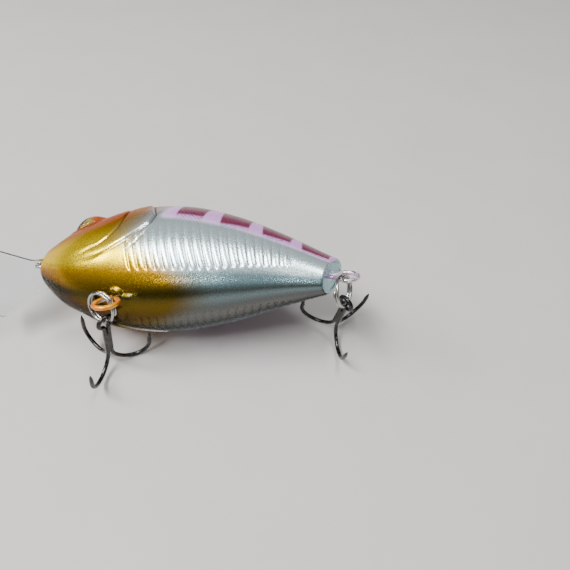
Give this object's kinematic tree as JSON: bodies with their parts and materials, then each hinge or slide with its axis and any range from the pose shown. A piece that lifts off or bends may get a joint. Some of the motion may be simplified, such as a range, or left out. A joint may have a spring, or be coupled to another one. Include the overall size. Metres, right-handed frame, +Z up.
{
  "type": "crankbait lure",
  "caption": "Floating crankbait lure: hollow fish-shaped body with a diving lip, wire line tie, loose rattle balls and two treble hooks hung on split rings.",
  "frame": {"origin": "middle of the base of the whole lure's box as it lies on its right flank", "axes": "+Z up off the table, +X from nose to tail, the belly towards -Y and turned about 27 degrees up, the tail raised about 9 degrees"},
  "size_m": [0.0568, 0.0276, 0.0187],
  "materials": {
    "painted_shell": "painted foil-bright scales under clear lacquer",
    "clear_lip": "clear moulded polycarbonate",
    "hanger_wire": "stainless spring wire, part painted",
    "ballast": "dull cast metal",
    "eye_print": "printed foil iris",
    "eye_dome": "clear dome",
    "ring_steel": "bright nickel",
    "hook_nickel": "black nickel",
    "braze": "plated braze",
    "rattle_steel": "polished ball"
  },
  "bodies": {
    "lure_body": {"diving_lip": "clear_lip", "line_tie": "hanger_wire", "belly_ballast": "ballast", "belly_hanger": "hanger_wire", "tail_hanger": "hanger_wire", "left_eye_disc": "eye_print", "left_eye_dome": "eye_dome", "right_eye_disc": "eye_print", "right_eye_dome": "eye_dome", "left_body_shell": "painted_shell", "right_body_shell": "painted_shell"},
    "belly_ring": {"belly_split_ring": "ring_steel"},
    "belly_treble": {"belly_treble_pair": "hook_nickel", "belly_treble_third": "hook_nickel", "belly_treble_braze": "braze"},
    "tail_ring": {"tail_split_ring": "ring_steel"},
    "tail_treble": {"tail_treble_pair": "hook_nickel", "tail_treble_third": "hook_nickel", "tail_treble_braze": "braze"},
    "rattle_ball_front": {"rattle_ball_front": "rattle_steel"},
    "rattle_ball_rear": {"rattle_ball_rear": "rattle_steel"}
  },
  "joints": [
    {"name": "belly_ring_swing", "type": "hinge", "parent": "lure_body", "child": "belly_ring", "pos_m": [-0.00422, -0.00677, 0.01418], "axis": [-0.1418, 0.4474, 0.883], "range_deg": [-2, 200]},
    {"name": "belly_hook_swing", "type": "hinge", "parent": "belly_ring", "child": "belly_treble", "pos_m": [-0.00539, -0.00784, 0.011], "axis": [0.9532, -0.21, 0.2174], "range_deg": [-155, 0]},
    {"name": "tail_ring_swing", "type": "hinge", "parent": "lure_body", "child": "tail_ring", "pos_m": [0.02455, 0.00237, 0.01417], "axis": [-0.1418, 0.4474, 0.883], "range_deg": [0, 200]},
    {"name": "tail_hook_swing", "type": "hinge", "parent": "tail_ring", "child": "tail_treble", "pos_m": [0.02498, 0.00024, 0.01161], "axis": [0.3029, 0.9521, -0.0421], "range_deg": [-160, 0]},
    {"name": "rattle_ball_front_roll", "type": "slide", "parent": "lure_body", "child": "rattle_ball_front", "axis": [-0.1418, 0.4474, 0.883], "range_m": [0, 0.0101]},
    {"name": "rattle_ball_rear_roll", "type": "slide", "parent": "lure_body", "child": "rattle_ball_rear", "axis": [-0.1418, 0.4474, 0.883], "range_m": [0, 0.0077]}
  ]
}
